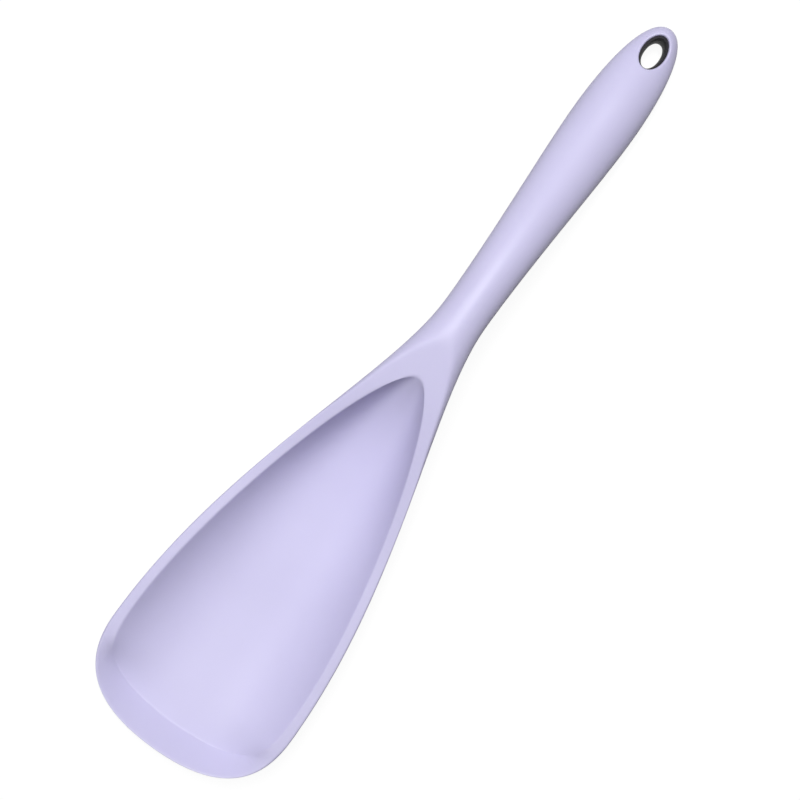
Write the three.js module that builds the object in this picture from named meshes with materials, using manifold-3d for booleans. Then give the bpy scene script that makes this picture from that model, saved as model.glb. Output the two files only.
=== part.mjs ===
// Silicone duckbill spatula: a nylon core on a steel spine, moulded over with one silicone skin.
// Millimetres. x runs from the lip to the tail, y across, z up from the table the part lies on.
import * as THREE from 'three';
import { mergeVertices } from 'three/addons/utils/BufferGeometryUtils.js';
import Module from 'manifold-3d';

const wasm = await Module();
wasm.setup();

// Plan outline, lengths along x
const FRONT_LENGTH = 28; // lip to the widest place
const SIDE_LENGTH = 145; // widest place to the neck
const GRIP_LENGTH = 79.3; // neck to the swell of the handle
const TAIL_LENGTH = 37.7; // swell to the tail end
const BLADE_WIDTH = 70.5;
const NECK_WIDTH = 15.7;
const GRIP_WIDTH = 22.3;
const LIP_FLATNESS = 22.4; // how far the lip runs straight across before it turns
const CORNER_REACH = 19.8; // how early the front corner reaches the full width
const SHOULDER_REACH = 63; // how long the blade keeps its width
const NECK_REACH = 31; // how long the neck stays slim towards the blade
const GRIP_REACH = 28; // how long the neck stays slim towards the handle
const SWELL_REACH = 18.4; // how long the handle stays broad towards the neck
const TAIL_REACH = 10; // how long the handle stays broad towards the tail
const TAIL_BLUNTNESS = 10.2;

// Heights over the table
const LIP_HEIGHT = 16; // upper edge of the lip
const LIP_EDGE = 1.6; // thickness of the lip's edge
const CREASE_HEIGHT = 8.6; // where the lip band meets the bowl floor
const RIM_HEIGHT = 17.2;
const RIM_LEVEL_END = 84; // from the lip, where the rim starts to climb
const RIM_REAR_HEIGHT = 27.5; // rim behind the bowl
const EDGE_DROP = 0.8; // rim face down to the widest line of the blade
const NECK_HEIGHT = 30; // top of the neck
const NECK_THICKNESS = 13;
const GRIP_THICKNESS = 17;
const EYE_THICKNESS = 10.6; // handle at the hanging hole
const TAIL_ROUNDING = 5;
const BASE_FLAT = 0.7; // how much the flat rest under the heel takes off the round belly
const SECTION_POWER = 2.15; // 2 is an ellipse, more is squarer

// Bowl
const LIP_BAND = 8.5; // lip to the crease
const BOWL_LENGTH = 139; // crease to the rounded rear end
const BOWL_WIDTH = 63.4;
const BOWL_WIDEST = 33.8; // from the lip
const BOWL_CORNER_CLIMB = 14.5;
const BOWL_FRONT_FLATNESS = 28;
const BOWL_CORNER_REACH = 16.8;
const BOWL_SHOULDER_REACH = 42.7;
const BOWL_REAR_BLUNTNESS = 10.3;
const HEEL_POSITION = 62; // deepest place, from the lip
const FLOOR_THICKNESS = 4.5;
const REAR_WALL_REACH = 48; // how long the floor stays low behind the heel
const REAR_WALL_RUN = 19.5; // length of the steep last part of the rear wall
const REAR_WALL_DROP = 21.5; // height of that part
const DISH_POWER = 3.4; // 2 is a round dish, more has a flatter floor

// Hanging hole
const HOLE_LENGTH = 13;
const HOLE_WIDTH = 8.4;
const HOLE_TAIL_WALL = 4.2; // from the hole to the tail end

// Core, spine and skin
const FIT_GAP = 0.3;
const GRIP_SKIN = 2.2;
const BLADE_SKIN = 1.1;
const COLLAR_SKIN = 1.1; // silicone lip over the collar of the hanging hole
const COLLAR_LAP = 1.2; // how far that lip covers the collar
const BORE_WAIST = 1.4; // how far the collar draws the hole in at half its depth
const PLATE_INSET = 4; // bowl edge to the edge of the core plate
const KEY_HOLE = 5; // holes in the plate that the silicone grips through
const SPINE_WIDTH = 7;
const SPINE_THICKNESS = 1.5;
const SPINE_FRONT = 150; // from the lip
const SPINE_LENGTH = 108;
const SPINE_HOLE = 3.2;
const PIN_WINDOW = 4; // windows under the spine where the mould held it

// Derived places along x
const xWide = FRONT_LENGTH;
const xNeck = xWide + SIDE_LENGTH;
const xSwell = xNeck + GRIP_LENGTH;
const xTail = xSwell + TAIL_LENGTH;
const xCrease = LIP_BAND;
const xCorner = xCrease + BOWL_CORNER_CLIMB;
const xRear = xCrease + BOWL_LENGTH;
const xHeel = HEEL_POSITION;
const xHole = xTail - HOLE_TAIL_WALL - HOLE_LENGTH / 2;
const sky = 60; // above everything

const bezier = (...points) => new THREE.CubicBezierCurve(...points.map(([u, v]) => new THREE.Vector2(u, v)));

// Points along joined curves, each curve cut into its own number of steps
function pointsOf(curves, steps) {
  return curves.flatMap((curve, i) => curve.getPoints(steps[i]).slice(i ? 1 : 0));
}

// Height of joined curves at any x
function lineOf(...curves) {
  const points = pointsOf(curves, curves.map(() => 80));
  return x => {
    const i = Math.max(1, points.findIndex(p => p.x >= x));
    if (x >= points.at(-1).x) return points.at(-1).y;
    const [a, b] = [points[i - 1], points[i]];
    const t = THREE.MathUtils.clamp((x - a.x) / Math.max(b.x - a.x, 1e-9), 0, 1);
    return THREE.MathUtils.lerp(a.y, b.y, t);
  };
}

// Smooth line through a few places that never overshoots them
function lineThrough(...places) {
  const rise = places.slice(1).map(([x, z], i) => (z - places[i][1]) / (x - places[i][0]));
  const slope = places.map((_, i) => {
    const before = rise[Math.max(i - 1, 0)];
    const after = rise[Math.min(i, rise.length - 1)];
    return before * after > 0 ? (2 * before * after) / (before + after) : 0;
  });
  return x => {
    const after = places.findIndex(([px]) => px > x);
    const i = after < 0 ? rise.length - 1 : Math.max(after - 1, 0);
    const [x0, z0] = places[i];
    const [x1, z1] = places[i + 1];
    const t = THREE.MathUtils.clamp((x - x0) / (x1 - x0), 0, 1);
    const bend = (x1 - x0) * t * (1 - t) * (slope[i] * (1 - t) - slope[i + 1] * t);
    return THREE.MathUtils.lerp(z0, z1, t * t * (3 - 2 * t)) + bend;
  };
}

// Plan curves of one half: outer edge and bowl edge
const outline = [
  bezier([0, 0], [0, LIP_FLATNESS], [xWide - CORNER_REACH, BLADE_WIDTH / 2], [xWide, BLADE_WIDTH / 2]),
  bezier(
    [xWide, BLADE_WIDTH / 2],
    [xWide + SHOULDER_REACH, BLADE_WIDTH / 2],
    [xNeck - NECK_REACH, NECK_WIDTH / 2],
    [xNeck, NECK_WIDTH / 2],
  ),
  bezier(
    [xNeck, NECK_WIDTH / 2],
    [xNeck + GRIP_REACH, NECK_WIDTH / 2],
    [xSwell - SWELL_REACH, GRIP_WIDTH / 2],
    [xSwell, GRIP_WIDTH / 2],
  ),
  bezier([xSwell, GRIP_WIDTH / 2], [xSwell + TAIL_REACH, GRIP_WIDTH / 2], [xTail, TAIL_BLUNTNESS], [xTail, 0]),
];
const bowlEdge = [
  bezier(
    [xCrease, 0],
    [xCrease, BOWL_FRONT_FLATNESS],
    [BOWL_WIDEST - BOWL_CORNER_REACH, BOWL_WIDTH / 2],
    [BOWL_WIDEST, BOWL_WIDTH / 2],
  ),
  bezier(
    [BOWL_WIDEST, BOWL_WIDTH / 2],
    [BOWL_WIDEST + BOWL_SHOULDER_REACH, BOWL_WIDTH / 2],
    [xRear, BOWL_REAR_BLUNTNESS],
    [xRear, 0],
  ),
];

// Height lines
const heelFloor = FLOOR_THICKNESS - BASE_FLAT;
const floorLine = lineOf(
  bezier(
    [xCrease, CREASE_HEIGHT],
    [THREE.MathUtils.lerp(xCrease, xHeel, 0.4), THREE.MathUtils.lerp(CREASE_HEIGHT, heelFloor, 0.5)],
    [THREE.MathUtils.lerp(xCrease, xHeel, 0.6), heelFloor],
    [xHeel, heelFloor],
  ),
  bezier(
    [xHeel, heelFloor],
    [xHeel + REAR_WALL_REACH, heelFloor],
    [xRear - REAR_WALL_RUN, RIM_REAR_HEIGHT - REAR_WALL_DROP],
    [xRear, RIM_REAR_HEIGHT],
  ),
);
const neckMiddle = NECK_HEIGHT - NECK_THICKNESS / 2;
const eyeMiddle = EYE_THICKNESS / 2 + 1.2;
const rimLine = lineThrough(
  [0, LIP_HEIGHT],
  [xWide, RIM_HEIGHT],
  [RIM_LEVEL_END, RIM_HEIGHT],
  [xRear, RIM_REAR_HEIGHT],
  [xNeck, NECK_HEIGHT + 2.8],
);
const widestLine = lineThrough(
  [0, LIP_HEIGHT - LIP_EDGE / 2],
  [xWide, RIM_HEIGHT - EDGE_DROP],
  [RIM_LEVEL_END, RIM_HEIGHT - EDGE_DROP],
  [xRear, neckMiddle - 0.6],
  [xNeck, neckMiddle],
  [xSwell, GRIP_THICKNESS / 2 - 0.25],
  [xHole, eyeMiddle],
  [xTail, eyeMiddle - 0.3],
);
const bellyLine = lineThrough(
  [0, LIP_HEIGHT - LIP_EDGE],
  [xCrease, CREASE_HEIGHT - FLOOR_THICKNESS],
  [xWide, floorLine(xWide) - FLOOR_THICKNESS],
  [xHeel, -BASE_FLAT],
  [xHeel + 25, floorLine(xHeel + 25) - FLOOR_THICKNESS],
  [xHeel + 56, floorLine(xHeel + 56) - FLOOR_THICKNESS],
  [xRear, NECK_HEIGHT - NECK_THICKNESS - 1.5],
  [xNeck, NECK_HEIGHT - NECK_THICKNESS],
);
const halfThickness = lineThrough(
  [xNeck, NECK_THICKNESS / 2],
  [xSwell, GRIP_THICKNESS / 2],
  [xHole, EYE_THICKNESS / 2],
  [xTail, EYE_THICKNESS / 2 - 0.8],
);
const outlineHalf = lineOf(...outline);

// The bowl's edge lies on the floor at the crease and climbs to the rim at the front corners
function bowlEdgeHeight(x) {
  const climb = THREE.MathUtils.smoothstep(x, xCrease, xCorner);
  return THREE.MathUtils.lerp(CREASE_HEIGHT, rimLine(x), climb);
}

// The rim face is flat along the sides; round the front it slopes from the lip's edge down to the crease
const outlinePoints = pointsOf(outline.slice(0, 2), [60, 40]);
const bowlEdgePoints = pointsOf(bowlEdge, [60, 40]);
function nearest(points, x, y) {
  const near = points.reduce((best, p) => {
    const distance = Math.hypot(p.x - x, p.y - Math.abs(y));
    return distance < best.distance ? { distance, x: p.x } : best;
  }, { distance: Infinity, x: 0 });
  return near;
}
function rimFace(x, y) {
  if (x > xCorner) return rimLine(x);
  const edge = nearest(outlinePoints, x, y);
  const bowl = nearest(bowlEdgePoints, x, y);
  const share = edge.distance / Math.max(edge.distance + bowl.distance, 1e-9);
  return THREE.MathUtils.lerp(rimLine(edge.x), bowlEdgeHeight(bowl.x), share);
}

// A closed solid over cross-section rings, with flat ends where a ring has width
function loft(rings) {
  const count = rings[0].length;
  const points = rings.flat();
  const faces = [];
  for (let i = 0; i + 1 < rings.length; i++) {
    for (let j = 0; j < count; j++) {
      const [a, b] = [i * count + j, i * count + ((j + 1) % count)];
      faces.push(a, b, b + count, a, b + count, a + count);
    }
  }
  [0, rings.length - 1].forEach((ring, end) => {
    const middle = rings[ring].reduce((sum, p) => sum.add(p), new THREE.Vector3()).divideScalar(count);
    points.push(middle);
    for (let j = 0; j < count; j++) {
      const [a, b] = [ring * count + j, ring * count + ((j + 1) % count)];
      faces.push(points.length - 1, end ? a : b, end ? b : a);
    }
  });
  const geometry = new THREE.BufferGeometry().setFromPoints(points);
  geometry.setIndex(faces);
  return solid(geometry);
}

// A geometry as a solid: shared corners, no empty triangles, faces outwards
function solid(geometry) {
  geometry.deleteAttribute('normal');
  geometry.deleteAttribute('uv');
  const merged = mergeVertices(geometry, 1e-4);
  const corner = merged.index.array;
  const at = k => new THREE.Vector3().fromBufferAttribute(merged.attributes.position, k);
  let triangles = [];
  let volume = 0;
  for (let i = 0; i < corner.length; i += 3) {
    const [a, b, c] = corner.slice(i, i + 3);
    if (a === b || b === c || a === c) continue;
    triangles.push([a, b, c]);
    volume += at(a).dot(at(b).cross(at(c)));
  }
  if (volume < 0) triangles = triangles.map(([a, b, c]) => [a, c, b]);
  const vertProperties = new Float32Array(merged.attributes.position.array);
  return new wasm.Manifold(new wasm.Mesh({ numProp: 3, vertProperties, triVerts: new Uint32Array(triangles.flat()) }));
}

// The moulded body, or the same body drawn in by a depth that may change along it
function body(depth, steps, corners) {
  const rings = [];
  for (const { x, y: half } of pointsOf(outline, steps)) {
    const inset = depth(x);
    if (inset > 0 && half < inset + 1.5) continue;
    const end = Math.sqrt(Math.max(0, 1 - Math.max(0, (x - xTail + TAIL_ROUNDING) / TAIL_ROUNDING) ** 2));
    const middle = widestLine(x);
    const handle = x > xNeck;
    const up = (handle ? halfThickness(x) : NECK_THICKNESS / 2) * end - inset;
    const down = (handle ? halfThickness(x) * end : middle - bellyLine(x)) - inset;
    const ring = [];
    for (let k = 0; k < corners; k++) {
      const [c, s] = [Math.cos((2 * Math.PI * k) / corners), Math.sin((2 * Math.PI * k) / corners)];
      const y = (half - inset) * Math.sign(c) * Math.abs(c) ** (2 / SECTION_POWER);
      const round = middle + (s > 0 ? up : down) * Math.sign(s) * Math.abs(s) ** (2 / SECTION_POWER);
      const z = Math.max(Math.min(round, rimFace(x, y) - inset), inset);
      ring.push(new THREE.Vector3(x, y, z));
    }
    rings.push(ring);
  }
  return loft(rings);
}

// The hollow of the bowl and everything above it, or the same grown by a margin
function bowl(margin, steps, corners) {
  const edge = pointsOf(bowlEdge, steps);
  const rings = edge.map(({ x, y: half }) => {
    const top = bowlEdgeHeight(x);
    const depth = top - floorLine(x) + (half > 0 ? margin : 0);
    const width = half > 0 ? half + margin : 0;
    const ring = [new THREE.Vector3(x, width, sky), new THREE.Vector3(x, -width, sky)];
    for (let k = 0; k <= corners; k++) {
      const across = Math.cos((Math.PI * k) / corners);
      const sag = depth * (1 - Math.abs(across) ** DISH_POWER);
      ring.push(new THREE.Vector3(x, -width * across, top - sag));
    }
    return ring;
  });
  return loft(rings);
}

// An upright prism on a plan shape
function prism(points, bottom, top) {
  const shape = new THREE.Shape(points);
  const geometry = new THREE.ExtrudeGeometry(shape, { depth: top - bottom, bevelEnabled: false });
  return solid(geometry.translate(0, 0, bottom));
}
const below = -20;

// One half of a plan curve drawn in by a depth, then mirrored to a closed shape
function planShape(points, depth) {
  const half = points.map((p, i) => {
    const [before, after] = [points[Math.max(i - 1, 0)], points[Math.min(i + 1, points.length - 1)]];
    const along = after.clone().sub(before).normalize();
    return new THREE.Vector2(p.x + along.y * depth(p.x), Math.max(p.y - along.x * depth(p.x), 0));
  });
  const other = half.map(p => new THREE.Vector2(p.x, -p.y)).reverse();
  return [...half, ...other].filter((p, i, all) => p.distanceTo(all[(i + 1) % all.length]) > 1e-3);
}

// The oval of the hanging hole, drawn in or out
function holePrism(inset) {
  const oval = new THREE.EllipseCurve(xHole, 0, HOLE_LENGTH / 2 - inset, HOLE_WIDTH / 2 - inset, 0, 2 * Math.PI);
  return prism(oval.getPoints(32).slice(0, -1), below, sky);
}

// The collar's bore: as wide as the hole at both faces, drawn in at half its depth
function waistedBore() {
  const middle = widestLine(xHole);
  const reach = EYE_THICKNESS / 2 + FIT_GAP;
  const rings = [-1, -0.7, -0.35, 0, 0.35, 0.7, 1].map(level => {
    const inset = BORE_WAIST * (1 - level * level);
    const oval = new THREE.EllipseCurve(xHole, 0, HOLE_LENGTH / 2 - inset, HOLE_WIDTH / 2 - inset, 0, 2 * Math.PI);
    return oval.getPoints(32).slice(0, -1).map(p => new THREE.Vector3(p.x, p.y, middle + level * reach));
  });
  return loft(rings);
}

function pin(x, y, radius, bottom, top) {
  const geometry = new THREE.CylinderGeometry(radius, radius, top - bottom, 16);
  return solid(geometry.rotateX(Math.PI / 2).translate(x, y, (top + bottom) / 2));
}

// Places of the holes that tie the layers together
const keyRows = [0.2, 0.4, 0.6].map(share => THREE.MathUtils.lerp(xWide, xRear - 30, share));
const keyPlaces = keyRows.flatMap((x, i) => [-1, 1].map(side => [x, side * outlineHalf(x) * (i === 2 ? 0.38 : 0.45)]));
const spineEnd = SPINE_FRONT + SPINE_LENGTH;
const spineHoles = [0.3, 0.7].map(share => THREE.MathUtils.lerp(SPINE_FRONT, spineEnd, share));
const pinWindows = [0.15, 0.5, 0.85].map(share => THREE.MathUtils.lerp(SPINE_FRONT, spineEnd, share));
const spineLine = x => widestLine(x) - 0.4;

// The spine strip, or the slot round it
function strip(gap) {
  const rings = [];
  for (let i = 0; i <= 12; i++) {
    const x = THREE.MathUtils.lerp(SPINE_FRONT - gap, spineEnd + gap, i / 12);
    const [w, h] = [SPINE_WIDTH / 2 + gap, SPINE_THICKNESS / 2 + gap];
    const corners = [[w, h], [-w, h], [-w, -h], [w, -h]];
    rings.push(corners.map(([y, z]) => new THREE.Vector3(x, y, spineLine(x) + z)));
  }
  return spineHoles.reduce((s, x) => s.subtract(pin(x, 0, SPINE_HOLE / 2 - gap, below, sky)), loft(rings));
}

// The outer form of the core, or the room it needs in the skin
const skinDepth = lineThrough([0, BLADE_SKIN], [xRear - 25, BLADE_SKIN], [xNeck, GRIP_SKIN], [xTail, GRIP_SKIN]);
function coreForm(grow) {
  const drawnIn = body(x => skinDepth(x) - grow, [4, 9, 6, 8], 24);
  const xShoulder = xRear - 30;
  const platePoints = pointsOf(bowlEdge, [8, 12]).filter(p => p.x < xShoulder + 12);
  const plate = planShape(platePoints, () => PLATE_INSET - grow);
  const shoulderInset = lineThrough([xShoulder, PLATE_INSET + 3], [xNeck, GRIP_SKIN], [xTail, GRIP_SKIN]);
  const start = new THREE.Vector2(xShoulder - grow, outlineHalf(xShoulder - grow));
  const handlePoints = [start, ...pointsOf(outline, [8, 12, 7, 12]).filter(p => p.x > xShoulder + 2)];
  const handle = planShape(handlePoints, x => shoulderInset(x) - grow);
  const plan = prism(plate, below, sky).add(prism(handle, below, sky));
  const collar = body(() => COLLAR_SKIN - grow, [2, 3, 3, 14], 24).intersect(holePrism(-COLLAR_LAP - grow));
  let form = drawnIn.intersect(plan).subtract(bowl(BLADE_SKIN - grow, [6, 10], 12)).add(collar);
  for (const [x, y] of keyPlaces) form = form.subtract(pin(x, y, KEY_HOLE / 2 - grow, below, sky));
  for (const x of pinWindows) {
    const lowest = Math.min(spineLine(x - PIN_WINDOW / 2), spineLine(x + PIN_WINDOW / 2));
    const seat = lowest - SPINE_THICKNESS / 2 - FIT_GAP;
    form = form.subtract(pin(x, 0, PIN_WINDOW / 2 - grow, below, seat));
  }
  return form;
}

const outer = body(() => 0, [10, 13, 8, 11], 36);
const skin = outer.subtract(bowl(0, [10, 13], 16)).subtract(holePrism(0)).subtract(coreForm(FIT_GAP));
const core = coreForm(0).subtract(waistedBore()).subtract(strip(FIT_GAP));
const spine = strip(0);

// The finished pieces, with the middle of the length at x = 0
function piece(name, form, colour, roughness, metalness) {
  const mesh = form.getMesh();
  const geometry = new THREE.BufferGeometry();
  geometry.setAttribute('position', new THREE.BufferAttribute(new Float32Array(mesh.vertProperties), 3));
  geometry.setIndex([...mesh.triVerts]);
  geometry.translate(-xTail / 2, 0, 0);
  geometry.computeVertexNormals();
  const made = new THREE.Mesh(geometry, new THREE.MeshStandardMaterial({ color: colour, roughness, metalness }));
  made.name = name;
  return made;
}

const part = new THREE.Group();
part.name = 'duckbill_spatula';
part.add(piece('silicone_skin', skin, 0xd6d2f2, 0.55, 0));
part.add(piece('nylon_core', core, 0x24222a, 0.45, 0));
part.add(piece('steel_spine', spine, 0xb8babd, 0.35, 1));
export default part;
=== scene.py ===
import math
from bisect import bisect_left

import bmesh
import bpy
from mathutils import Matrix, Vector
from mathutils.geometry import interpolate_bezier


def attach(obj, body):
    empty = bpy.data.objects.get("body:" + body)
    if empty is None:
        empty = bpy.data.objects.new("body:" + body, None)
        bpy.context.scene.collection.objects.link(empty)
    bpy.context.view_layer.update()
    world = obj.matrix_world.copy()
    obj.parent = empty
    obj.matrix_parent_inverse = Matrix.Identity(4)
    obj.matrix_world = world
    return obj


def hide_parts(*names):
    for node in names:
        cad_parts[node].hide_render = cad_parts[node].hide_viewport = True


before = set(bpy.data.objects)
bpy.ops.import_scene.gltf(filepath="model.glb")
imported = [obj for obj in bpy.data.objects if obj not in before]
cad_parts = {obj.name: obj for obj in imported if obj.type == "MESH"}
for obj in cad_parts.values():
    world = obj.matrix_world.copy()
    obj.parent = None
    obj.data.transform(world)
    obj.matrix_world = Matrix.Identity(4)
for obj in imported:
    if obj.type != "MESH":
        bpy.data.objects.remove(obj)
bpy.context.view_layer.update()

MM = 0.001

# Places along the spatula, in millimetres from the middle of the lip
CREASE = 8.5
CORNER_END = 23.0
WIDEST = 28.0
BOWL_WIDEST = 33.8
HEEL = 62.0
RIM_LEVEL_END = 84.0
BOWL_REAR = 147.5
NECK = 173.0
SWELL = 252.3
HOLE = 279.3
TAIL = 290.0

# Half widths and heights, in millimetres
BLADE_HALF = 35.25
BOWL_HALF = 31.7
NECK_HALF = 7.85
GRIP_HALF = 11.15
LIP_HEIGHT = 16.0
LIP_EDGE = 1.6
CREASE_HEIGHT = 8.6
CREASE_SKIN = 4.5
FLOOR_HEIGHT = 3.8
FLOOR_THICKNESS = 4.5
HEEL_DIP = 0.7
RIM_HEIGHT = 17.2
RIM_REAR_HEIGHT = 27.5
EDGE_DROP = 0.8
NECK_TOP = 32.8
NECK_MIDDLE = 23.5
NECK_HALF_THICKNESS = 6.5
GRIP_MIDDLE = 8.25
GRIP_HALF_THICKNESS = 8.5
EYE_MIDDLE = 6.5
EYE_HALF_THICKNESS = 5.3
TAIL_MIDDLE = 6.2
TAIL_HALF_THICKNESS = 4.5

# Plan of one half, and the floor of the bowl along its middle, as curves of four points each
OUTLINE = (
    ((0, 0), (0, 22.4), (8.2, BLADE_HALF), (WIDEST, BLADE_HALF)),
    ((WIDEST, BLADE_HALF), (91, BLADE_HALF), (142, NECK_HALF), (NECK, NECK_HALF)),
    ((NECK, NECK_HALF), (201, NECK_HALF), (233.9, GRIP_HALF), (SWELL, GRIP_HALF)),
    ((SWELL, GRIP_HALF), (262.3, GRIP_HALF), (TAIL, 10.2), (TAIL, 0)),
)
BOWL_EDGE = (
    ((CREASE, 0), (CREASE, 28), (17, BOWL_HALF), (BOWL_WIDEST, BOWL_HALF)),
    ((BOWL_WIDEST, BOWL_HALF), (76.5, BOWL_HALF), (BOWL_REAR, 10.3), (BOWL_REAR, 0)),
)
FLOOR_LINE = (
    ((CREASE, CREASE_HEIGHT), (29.9, 6.2), (40.6, FLOOR_HEIGHT), (HEEL, FLOOR_HEIGHT)),
    ((HEEL, FLOOR_HEIGHT), (110, FLOOR_HEIGHT), (128, 6), (BOWL_REAR, RIM_REAR_HEIGHT)),
)

# How square the handle's top, the belly and the bowl are across
TOP_POWER = 1.9
BELLY_POWER = 2.15
DISH_POWER = 3.4

TAIL_ROUNDING = 5.0
LIP_ROUNDING = 0.8
SEAM_HALF = 0.25
FACE_BLEND = 0.5
BASE_BLEND = 0.3
CURVE_STEPS = 240

# Hanging hole: half length and width, rounding of its edge, depth, bevel and groove of its lip, search reach
HOLE_HALF = (6.5, 4.2)
HOLE_ROUNDING = 0.7
HOLE_LIP = 1.1
HOLE_BEVEL = 0.12
HOLE_GROOVE = 0.9
HOLE_GROOVE_DROP = 0.05
HOLE_REACH = (8.0, 5.6)

# Rows along the spatula and lanes across one half of it
LIP_ROWS = (0, 0.12, 0.35, 0.8, 1.6, 2.9, 4.4, 6.0, 7.3, 8.05, CREASE)
BOWL_ROWS = 56
NECK_ROWS = 40
HOLE_ROWS = 16
TAIL_ROWS = 7
BOWL_LANES = 18
RIM_LANES = 12
LANE_SPLIT = 0.38


def trace(cubics):
    """Points along joined curves."""
    points = [cubics[0][0]]
    for cubic in cubics:
        points += interpolate_bezier(*map(Vector, cubic), CURVE_STEPS + 1)[1:]
    return [Vector((p[0], p[1])) for p in points]


def height_of(points):
    """Height of a traced curve at any x."""
    places = [p.x for p in points]

    def height(x):
        k = min(max(bisect_left(places, x), 1), len(points) - 1)
        a, b = points[k - 1], points[k]
        share = min(max((x - a.x) / max(b.x - a.x, 1e-9), 0), 1)
        return a.y + (b.y - a.y) * share

    return height


def line_through(*places):
    """Smooth line through a few places that never overshoots them."""
    rise = [(b[1] - a[1]) / (b[0] - a[0]) for a, b in zip(places, places[1:])]
    slope = []
    for k in range(len(places)):
        before, after = rise[max(k - 1, 0)], rise[min(k, len(rise) - 1)]
        slope.append(2 * before * after / (before + after) if before * after > 0 else 0)

    def height(x):
        k = 0
        while k < len(rise) - 1 and x >= places[k + 1][0]:
            k += 1
        (x0, z0), (x1, z1) = places[k], places[k + 1]
        t = min(max((x - x0) / (x1 - x0), 0), 1)
        bend = (x1 - x0) * t * (1 - t) * (slope[k] * (1 - t) - slope[k + 1] * t)
        return z0 + (z1 - z0) * t * t * (3 - 2 * t) + bend

    return height


def lerp(a, b, share):
    return a + (b - a) * share


def soft_least(a, b, softness):
    near = max(softness - abs(a - b), 0) / softness
    return min(a, b) - near * near * softness / 4


def soft_most(a, b, softness):
    return -soft_least(-a, -b, softness)


outline = trace(OUTLINE)
bowl_edge = trace(BOWL_EDGE)
outline_half = height_of(outline)
bowl_half = height_of(bowl_edge)
floor_line = height_of(trace(FLOOR_LINE))
rim_line = line_through(
    (0, LIP_HEIGHT),
    (WIDEST, RIM_HEIGHT),
    (RIM_LEVEL_END, RIM_HEIGHT),
    (BOWL_REAR, RIM_REAR_HEIGHT),
    (NECK, NECK_TOP),
)
blade_edge = (
    (0, LIP_HEIGHT - EDGE_DROP),
    (WIDEST, RIM_HEIGHT - EDGE_DROP),
    (RIM_LEVEL_END, RIM_HEIGHT - EDGE_DROP),
)
handle_middle = ((SWELL, GRIP_MIDDLE), (HOLE, EYE_MIDDLE), (TAIL, TAIL_MIDDLE))
# Level of the widest places: the belly hangs from the first line, the top stands on the second, crisper one
widest_line = line_through(*blade_edge, (BOWL_REAR, 22.9), (NECK, NECK_MIDDLE), *handle_middle)
edge_line = line_through(
    *blade_edge,
    (125, 21.4),
    (150, 24.3),
    (NECK, NECK_MIDDLE),
    (190, widest_line(190)),
    *handle_middle,
)
belly_line = line_through(
    (0, LIP_HEIGHT - LIP_EDGE),
    (CREASE, CREASE_HEIGHT - CREASE_SKIN),
    (WIDEST, floor_line(WIDEST) - FLOOR_THICKNESS),
    (HEEL, -HEEL_DIP),
    (HEEL + 25, floor_line(HEEL + 25) - FLOOR_THICKNESS),
    (HEEL + 56, floor_line(HEEL + 56) - FLOOR_THICKNESS),
    (BOWL_REAR, 15.5),
    (NECK, NECK_MIDDLE - NECK_HALF_THICKNESS),
)
half_thickness = line_through(
    (NECK, NECK_HALF_THICKNESS),
    (SWELL, GRIP_HALF_THICKNESS),
    (HOLE, EYE_HALF_THICKNESS),
    (TAIL, TAIL_HALF_THICKNESS),
)
front_outline = outline[: 2 * CURVE_STEPS + 1]


def nearest(points, x, y):
    """Distance to a traced curve, and the place along it."""
    return min((math.hypot(p.x - x, p.y - abs(y)), p.x) for p in points[::3])


def bowl_edge_height(x):
    """On the floor at the crease, on the rim past the front corners."""
    t = min(max((x - CREASE) / (CORNER_END - CREASE), 0), 1)
    return lerp(CREASE_HEIGHT, rim_line(x), t * t * (3 - 2 * t))


def rim_face(x, y):
    """Flat along the sides; round the front it slopes from the lip's edge down to the crease."""
    if x > CORNER_END:
        return rim_line(x)
    edge, edge_x = nearest(front_outline, x, y)
    bowl, bowl_x = nearest(bowl_edge, x, y)
    face = lerp(rim_line(edge_x), bowl_edge_height(bowl_x), edge / max(edge + bowl, 1e-9))
    if edge < LIP_ROUNDING:
        face -= LIP_ROUNDING - math.sqrt(LIP_ROUNDING**2 - (LIP_ROUNDING - edge) ** 2)
    return face


def fullness(x, y, power):
    """Share of a section's height that is left at y."""
    across = min(abs(y) / max(outline_half(x), 1e-6), 1)
    return (1 - across**power) ** (1 / power)


def end_share(x):
    return math.sqrt(max(0, 1 - max(0, (x - TAIL + TAIL_ROUNDING) / TAIL_ROUNDING) ** 2))


def top_height(x, y):
    up = (half_thickness(x) if x > NECK else NECK_HALF_THICKNESS) * end_share(x)
    return soft_least(edge_line(x) + up * fullness(x, y, TOP_POWER), rim_face(x, y), FACE_BLEND)


def dish_height(x, y):
    edge = bowl_edge_height(x)
    across = min(abs(y) / max(bowl_half(x), 1e-6), 1)
    return edge - (edge - floor_line(x)) * (1 - across**DISH_POWER)


def belly_height(x, y):
    middle = widest_line(x)
    down = half_thickness(x) * end_share(x) if x > NECK else middle - belly_line(x)
    return soft_most(middle - down * fullness(x, y, BELLY_POWER), 0, BASE_BLEND)


def part_of(points, shares):
    """Points at shares of the length of a run of points."""
    reach = [0]
    for a, b in zip(points, points[1:]):
        reach.append(reach[-1] + (b - a).length)
    made = []
    for share in shares:
        goal = share * reach[-1]
        k = min(max(bisect_left(reach, goal), 1), len(points) - 1)
        step = max(reach[k] - reach[k - 1], 1e-9)
        made.append(points[k - 1].lerp(points[k], min(max((goal - reach[k - 1]) / step, 0), 1)))
    return made


def straight(a, b):
    return [Vector(a).lerp(Vector(b), k / 8) for k in range(9)]


def place_on(points, x):
    return bisect_left([p.x for p in points], x)


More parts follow.
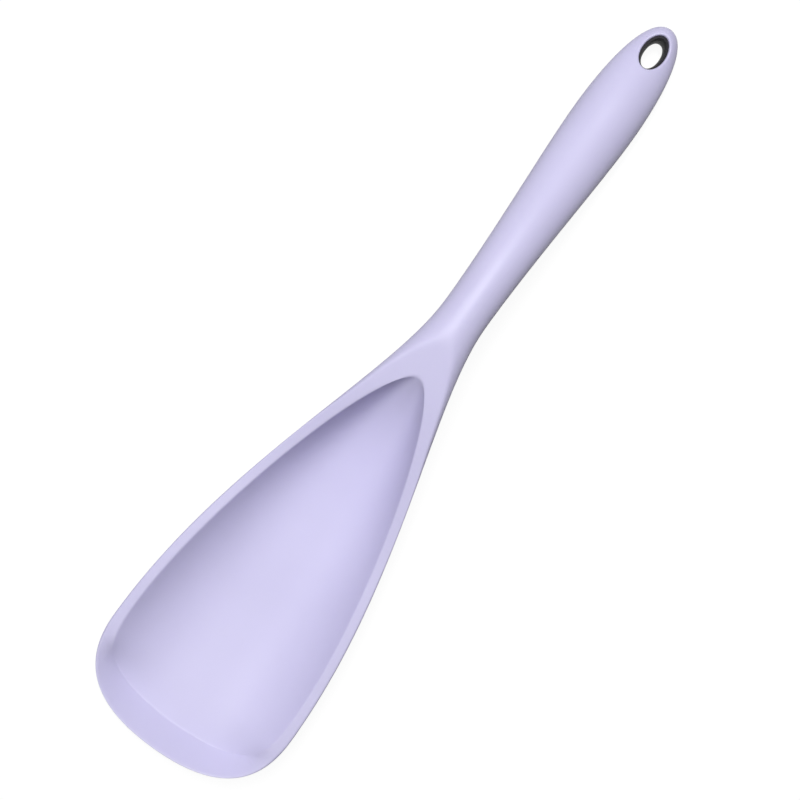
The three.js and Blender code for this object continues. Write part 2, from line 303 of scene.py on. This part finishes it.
def hole_arc(start, end):
    """Run of points on the rim of the hanging hole's rounding, by angle."""
    length, width = HOLE_HALF[0] + HOLE_ROUNDING, HOLE_HALF[1] + HOLE_ROUNDING
    turns = [math.radians(lerp(start, end, k / 60)) for k in range(61)]
    return [Vector((HOLE - length * math.cos(a), width * math.sin(a))) for a in turns]


def eased(count, even):
    """Shares from 0 to 1, partly even and partly crowded towards both ends."""
    return [even * k / count + (1 - even) * (1 - math.cos(math.pi * k / count)) / 2 for k in range(count + 1)]


# Shares of a block's length at which its rows and lanes lie
lip_shares = [d / CREASE for d in LIP_ROWS]
bowl_shares = eased(BOWL_ROWS, 0.15)
neck_shares = eased(NECK_ROWS, 0.35)
hole_shares = [k / HOLE_ROWS for k in range(HOLE_ROWS + 1)]
tail_shares = [math.sin(math.pi / 2 * k / TAIL_ROWS) for k in range(TAIL_ROWS + 1)]
bowl_lane_shares = [
    0.4 * k / BOWL_LANES + 0.6 * math.sin(math.pi / 2 * k / BOWL_LANES) for k in range(BOWL_LANES + 1)
]
split_turn = math.asin(LANE_SPLIT)
rim_lane_shares = [
    (math.sin(lerp(split_turn, math.pi / 2, k / RIM_LANES)) - LANE_SPLIT) / (1 - LANE_SPLIT)
    for k in range(RIM_LANES + 1)
]

# Corners of the blocks on the outline and on the bowl's edge, by place along the traced curves
lip_split, lip_corner, front_side = 113, 144, 173
bowl_corner, bowl_end = 120, CURVE_STEPS + 206
neck_side = place_on(outline, 148.5)
eye_side = place_on(outline, 275.0)
eye_end_side = 3 * CURVE_STEPS + 173
tail_corner, tail_split = 3 * CURVE_STEPS + 203, 3 * CURVE_STEPS + 216


def rail():
    """Line on the handle from the rear corner of the bowl to the front corner of the hole."""
    start, end = bowl_edge[bowl_end], hole_arc(45, 45)[0]
    share_start, share_end = start.y / outline_half(start.x), end.y / outline_half(end.x)
    points = []
    for k in range(121):
        x = lerp(start.x, end.x, k / 120)
        points.append(Vector((x, outline_half(x) * lerp(share_start, share_end, k / 120))))
    return points


hole_front, hole_side, hole_rear = hole_arc(0, 45), hole_arc(45, 135), hole_arc(180, 135)
tip = outline[-1]

# Each block: shares of its rows, and its middle, split and outer lines along the spatula
BLOCKS = (
    (
        lip_shares,
        straight((0, 0), (CREASE, 0)),
        straight(outline[lip_split], bowl_edge[bowl_corner]),
        outline[lip_corner : front_side + 1],
    ),
    (
        bowl_shares,
        straight((CREASE, 0), (BOWL_REAR, 0)),
        bowl_edge[bowl_corner : bowl_end + 1],
        outline[front_side : neck_side + 1],
    ),
    (neck_shares, straight((BOWL_REAR, 0), hole_front[0]), rail(), outline[neck_side : eye_side + 1]),
    (hole_shares, straight(hole_front[0], hole_rear[0]), hole_side, outline[eye_side : eye_end_side + 1]),
    (
        tail_shares,
        straight(hole_rear[0], tip),
        straight(hole_rear[-1], outline[tail_split]),
        outline[eye_end_side : tail_corner + 1],
    ),
)
# Lines across the spatula where the blocks begin and end: the inner part and the rim part
STATIONS = (
    (outline[: lip_split + 1], outline[lip_split : lip_corner + 1]),
    (bowl_edge[: bowl_corner + 1], straight(bowl_edge[bowl_corner], outline[front_side])),
    (bowl_edge[: bowl_end - 1 : -1], straight(bowl_edge[bowl_end], outline[neck_side])),
    (hole_front, straight(hole_front[-1], outline[eye_side])),
    (hole_rear, straight(hole_rear[-1], outline[eye_end_side])),
    (outline[: tail_split - 1 : -1], outline[tail_split : tail_corner - 1 : -1]),
)


def fill(rows, lanes, low, high, first, last):
    """Grid of places between two lines along the spatula and two across it."""
    low, high = part_of(low, rows), part_of(high, rows)
    first, last = part_of(first, lanes), part_of(last, lanes)
    grid = []
    for r, row in enumerate(rows):
        line = []
        for c, lane in enumerate(lanes):
            along = first[c].lerp(last[c], row)
            across = low[r].lerp(high[r], lane)
            corners = first[0].lerp(first[-1], lane).lerp(last[0].lerp(last[-1], lane), row)
            line.append(along + across - corners)
        grid.append(line)
    return grid


def make_plan():
    """Places of all rows and lanes of one half, and the rows where the blocks meet."""
    plan, joints = [], [0]
    for k, (rows, middle, split, outer) in enumerate(BLOCKS):
        inner = fill(rows, bowl_lane_shares, middle, split, STATIONS[k][0], STATIONS[k + 1][0])
        rim = fill(rows, rim_lane_shares, split, outer, STATIONS[k][1], STATIONS[k + 1][1])
        block = [a + b[1:] for a, b in zip(inner, rim)]
        plan += block if not plan else block[1:]
        joints.append(len(plan) - 1)
    return plan, joints


plan, (ROW_LIP, ROW_CREASE, ROW_BOWL_END, ROW_HOLE, ROW_HOLE_END, ROW_TAIL) = make_plan()
LANES = BOWL_LANES + RIM_LANES


def sheet_height(row, lane, x, y, top):
    if row in (ROW_LIP, ROW_TAIL) or lane == LANES:
        return edge_line(x) + SEAM_HALF if top else widest_line(x) - SEAM_HALF
    if not top:
        return belly_height(x, y)
    if ROW_CREASE <= row <= ROW_BOWL_END and lane <= BOWL_LANES:
        on_edge = row in (ROW_CREASE, ROW_BOWL_END) or lane == BOWL_LANES
        return bowl_edge_height(x) if on_edge else dish_height(x, y)
    return top_height(x, y)


def place(x, y, z):
    return Vector((x - TAIL / 2, y, z)) * MM


def make_sheet(bm, top):
    """Upper or lower face of the skin, laid out from a flat grid, with the hanging hole left out."""
    made = bmesh.ops.create_grid(bm, x_segments=ROW_TAIL, y_segments=2 * LANES, size=1)["verts"]
    hole = []
    for vert in made:
        row = round((vert.co.x + 1) / 2 * ROW_TAIL)
        lane = round(vert.co.y * LANES)
        spot = plan[row][abs(lane)]
        if ROW_HOLE < row < ROW_HOLE_END and abs(lane) < BOWL_LANES:
            hole.append(vert)
        y = math.copysign(spot.y, lane)
        vert.co = place(spot.x, y, sheet_height(row, abs(lane), spot.x, y, top))
    bmesh.ops.delete(bm, geom=hole, context="VERTS")


def hole_ring(bm, edges, was, now, down):
    """Draws the hole's edge on to a new ring, each given by growth and drop, and gives back its edges."""
    made = bmesh.ops.extrude_edge_only(bm, edges=edges)["geom"]
    length, width = HOLE_HALF[0] + HOLE_ROUNDING, HOLE_HALF[1] + HOLE_ROUNDING
    for vert in (v for v in made if isinstance(v, bmesh.types.BMVert)):
        x, y = vert.co.x / MM + TAIL / 2 - HOLE, vert.co.y / MM
        turn = math.atan2(y / (width + was[0]), x / (length + was[0]))
        vert.co.x = (math.cos(turn) * (length + now[0]) + HOLE - TAIL / 2) * MM
        vert.co.y = math.sin(turn) * (width + now[0]) * MM
        vert.co.z += (now[1] - was[1]) * (-MM if down else MM)
    return [e for e in made if isinstance(e, bmesh.types.BMEdge) and e.is_boundary]


def hole_lip(bm, edges, down):
    """Rounded edge, short wall and underside of the skin's lip round the hanging hole."""
    turns = [math.radians(turn) for turn in (22.5, 45, 67.5, 90)]
    rings = [(-HOLE_ROUNDING * math.sin(a), HOLE_ROUNDING * (1 - math.cos(a))) for a in turns]
    rings += [
        (-HOLE_ROUNDING, HOLE_LIP - HOLE_BEVEL),
        (HOLE_BEVEL - HOLE_ROUNDING, HOLE_LIP),
        (HOLE_GROOVE - HOLE_ROUNDING, HOLE_LIP + HOLE_GROOVE_DROP),
    ]
    was = (0.0, 0.0)
    for now in rings:
        edges = hole_ring(bm, edges, was, now, down)
        was = now


def near_hole(edge):
    away = [(v.co.x / MM + TAIL / 2 - HOLE, v.co.y / MM) for v in edge.verts]
    return all((x / HOLE_REACH[0]) ** 2 + (y / HOLE_REACH[1]) ** 2 < 1 for x, y in away)


def make_skin():
    """The soft skin: upper and lower faces closed round the widest line and through the hanging hole."""
    sheets = []
    for top in (True, False):
        bm = bmesh.new()
        make_sheet(bm, top)
        mesh = bpy.data.meshes.new("sheet")
        if not top:
            bmesh.ops.reverse_faces(bm, faces=bm.faces)
        eye = [e for e in bm.edges if e.is_boundary and near_hole(e)]
        hole_lip(bm, eye, top)
        bm.to_mesh(mesh)
        bm.free()
        sheets.append(mesh)
    bm = bmesh.new()
    for mesh in sheets:
        bm.from_mesh(mesh)
        bpy.data.meshes.remove(mesh)
    eye = [e for e in bm.edges if e.is_boundary and near_hole(e)]
    bmesh.ops.bridge_loops(bm, edges=eye)
    outer = [e for e in bm.edges if e.is_boundary]
    bmesh.ops.bridge_loops(bm, edges=outer)
    bmesh.ops.recalc_face_normals(bm, faces=bm.faces)
    return finish_piece(bm, "soft_skin", smoothing=1)


def finish_piece(bm, name, smoothing=0):
    mesh = bpy.data.meshes.new(name)
    bm.to_mesh(mesh)
    bm.free()
    mesh.shade_smooth()
    piece = bpy.data.objects.new(name, mesh)
    bpy.context.scene.collection.objects.link(piece)
    if smoothing:
        rounding = piece.modifiers.new("rounding", "SUBSURF")
        rounding.levels = rounding.render_levels = smoothing
    return piece


class Wire:
    """A socket in a material; arithmetic on it adds Math nodes."""

    def __init__(self, tree, socket=None):
        self.tree = tree
        self.socket = socket

    def node(self, kind, settings=(), inputs=(), output=0):
        made = self.tree.nodes.new(kind)
        for name, value in dict(settings).items():
            setattr(made, name, value)
        for name, value in dict(inputs).items():
            if isinstance(value, Wire):
                self.tree.links.new(value.socket, made.inputs[name])
            else:
                made.inputs[name].default_value = value
        return Wire(self.tree, made.outputs[output])

    def maths(self, operation, a, b=0.0):
        return self.node("ShaderNodeMath", {"operation": operation}, {0: a, 1: b})

    def __add__(self, other):
        return self.maths("ADD", self, other)

    def __mul__(self, other):
        return self.maths("MULTIPLY", self, other)



def colour(red, green, blue):
    """A colour as seen on a screen, 0 to 255, as light values."""
    light = [c / 255 for c in (red, green, blue)]
    return (*[c / 12.92 if c <= 0.04045 else ((c + 0.055) / 1.055) ** 2.4 for c in light], 1)


def new_material(name):
    material = bpy.data.materials.new(name)
    material.use_nodes = True
    material.node_tree.nodes.clear()
    return material, Wire(material.node_tree)


def blend_colours(wire, share, first, second):
    return wire.node("ShaderNodeMix", {"data_type": "RGBA"}, {0: share, 6: first, 7: second}, 2)


def spots(wire, spot, scale, detail=2.0, roughness=0.5):
    return wire.node(
        "ShaderNodeTexNoise", {}, {"Vector": spot, "Scale": scale, "Detail": detail, "Roughness": roughness}
    )


def close(wire, shader):
    made = wire.tree.nodes.new("ShaderNodeOutputMaterial")
    wire.tree.links.new(shader.socket, made.inputs["Surface"])


def silicone_finish():
    """Satin lavender rubber with a fine moulded grain and faint clouding."""
    material, wire = new_material("lavender_silicone")
    spot = wire.node("ShaderNodeTexCoord", output=3)
    clouds = spots(wire, spot, 38.0, 3.0)
    grain = spots(wire, spot, 2600.0, 2.0, 0.6)
    waves = spots(wire, spot, 260.0, 2.0)
    tint = blend_colours(wire, clouds, colour(209, 205, 238), colour(216, 212, 245))
    height = grain * 0.6 + waves * 0.4
    normal = wire.node("ShaderNodeBump", {}, {"Strength": 0.12, "Distance": 0.00004, "Height": height})
    shader = wire.node(
        "ShaderNodeBsdfPrincipled",
        {},
        {
            "Base Color": tint,
            "Roughness": clouds * 0.08 + grain * 0.06 + 0.38,
            "IOR": 1.41,
            "Specular IOR Level": 0.5,
            "Subsurface Weight": 0.12,
            "Subsurface Radius": (1.0, 0.85, 1.0),
            "Subsurface Scale": 0.0012,
            "Normal": normal,
        },
    )
    close(wire, shader)
    return material


def nylon_finish():
    """Dark moulded nylon with a fine grain."""
    material, wire = new_material("dark_nylon")
    spot = wire.node("ShaderNodeTexCoord", output=3)
    grain = spots(wire, spot, 1800.0, 3.0, 0.6)
    clouds = spots(wire, spot, 120.0, 2.0)
    tint = blend_colours(wire, clouds, (0.020, 0.019, 0.023, 1), (0.034, 0.032, 0.038, 1))
    normal = wire.node("ShaderNodeBump", {}, {"Strength": 0.3, "Distance": 0.00004, "Height": grain})
    shader = wire.node(
        "ShaderNodeBsdfPrincipled",
        {},
        {
            "Base Color": tint,
            "Roughness": grain * 0.16 + 0.46,
            "IOR": 1.53,
            "Specular IOR Level": 0.22,
            "Normal": normal,
        },
    )
    close(wire, shader)
    return material


def steel_finish():
    """Rolled steel strip, brushed along its length."""
    material, wire = new_material("rolled_steel")
    spot = wire.node("ShaderNodeTexCoord", output=3)
    long_spot = wire.node("ShaderNodeMapping", {}, {"Vector": spot, "Scale": (0.04, 1.0, 1.0)})
    brush = spots(wire, long_spot, 2400.0, 3.0, 0.6)
    tint = blend_colours(wire, brush, (0.46, 0.46, 0.47, 1), (0.60, 0.60, 0.61, 1))
    normal = wire.node("ShaderNodeBump", {}, {"Strength": 0.2, "Distance": 0.00003, "Height": brush})
    shader = wire.node(
        "ShaderNodeBsdfPrincipled",
        {},
        {"Base Color": tint, "Metallic": 1.0, "Roughness": brush * 0.18 + 0.28, "Normal": normal},
    )
    close(wire, shader)
    return material


def seen_share(wire):
    """One on rays from the eye, also by way of a reflection, and zero on the rays that light the scene."""
    path = wire.tree.nodes.new("ShaderNodeLightPath")
    seen, glossy, through = [
        Wire(wire.tree, path.outputs[f"Is {kind} Ray"]) for kind in ("Camera", "Glossy", "Transmission")
    ]
    return seen.maths("MINIMUM", seen + glossy + through, 1.0)


def floor_finish():
    """Pale paper sweep: white where the eye sees it, a plain grey where it throws light back."""
    material, wire = new_material("paper_sweep")
    shown = seen_share(wire)
    spot = wire.node("ShaderNodeTexCoord", output=3)
    fibres = spots(wire, spot, 900.0, 2.0)
    paper = blend_colours(wire, fibres, (0.11, 0.11, 0.11, 1), (0.13, 0.13, 0.13, 1))
    tint = blend_colours(wire, shown, paper, (0.10, 0.10, 0.10, 1))
    matte = wire.node("ShaderNodeBsdfDiffuse", {}, {"Color": tint})
    white = blend_colours(wire, shown, (0, 0, 0, 1), (0.93, 0.93, 0.93, 1))
    glow = wire.node("ShaderNodeEmission", {}, {"Color": white})
    close(wire, wire.node("ShaderNodeAddShader", {}, {0: matte, 1: glow}))
    return material


def dress(piece, material):
    if piece.data.materials:
        for k in range(len(piece.data.materials)):
            piece.data.materials[k] = material
    else:
        piece.data.materials.append(material)


skin = make_skin()
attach(skin, "root")
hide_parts("silicone_skin")
dress(skin, silicone_finish())
dress(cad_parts["nylon_core"], nylon_finish())
dress(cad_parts["steel_spine"], steel_finish())


def make_floor():
    bm = bmesh.new()
    bmesh.ops.create_grid(bm, x_segments=4, y_segments=4, size=3.0)
    bmesh.ops.translate(bm, verts=bm.verts, vec=(0, 0, -0.0003))
    floor = finish_piece(bm, "paper_floor")
    dress(floor, floor_finish())


make_floor()


def add_panel(name, spot, aim, size, power):
    """A soft studio panel."""
    light = bpy.data.lights.new(name, "AREA")
    light.shape, light.size, light.size_y, light.energy = "RECTANGLE", size[0], size[1], power
    panel = bpy.data.objects.new(name, light)
    panel.location = spot
    panel.rotation_euler = (Vector(aim) - Vector(spot)).to_track_quat("-Z", "Y").to_euler()
    bpy.context.scene.collection.objects.link(panel)


add_panel("overhead_panel", (0.25, 0.23, 1.23), (0, 0, 0), (0.55, 0.55), 16.5)

scene = bpy.context.scene
scene.view_settings.view_transform = "Standard"


def make_room():
    """Dim room light, with a white surround where the eye looks past the floor."""
    world = bpy.data.worlds.new("soft_room")
    scene.world = world
    world.use_nodes = True
    world.node_tree.nodes.clear()
    wire = Wire(world.node_tree)
    dim, surround = [
        wire.node("ShaderNodeBackground", {}, {"Color": (1, 1, 1, 1), "Strength": strength})
        for strength in (0.02, 1.0)
    ]
    seen = wire.node("ShaderNodeLightPath", output="Is Camera Ray")
    shown = wire.node("ShaderNodeMixShader", {}, {0: seen, 1: dim, 2: surround})
    made = world.node_tree.nodes.new("ShaderNodeOutputWorld")
    world.node_tree.links.new(shown.socket, made.inputs["Surface"])


make_room()

# The camera looks straight down on the spatula, turned as it lies in the picture
CAMERA_HEIGHT = 0.455
FRAME_WIDTH = 0.2613
FRAME_LEVEL = 0.012
CAMERA_SPOT = (-0.0066, 0.00083)
CAMERA_TURN = -54.16
SENSOR_WIDTH = 36.0
lens = bpy.data.cameras.new("camera")
lens.sensor_width = SENSOR_WIDTH
lens.lens = SENSOR_WIDTH * (CAMERA_HEIGHT - FRAME_LEVEL) / FRAME_WIDTH
camera = bpy.data.objects.new("camera", lens)
camera.location = (*CAMERA_SPOT, CAMERA_HEIGHT)
camera.rotation_euler = (0, 0, math.radians(CAMERA_TURN))
scene.collection.objects.link(camera)
scene.camera = camera
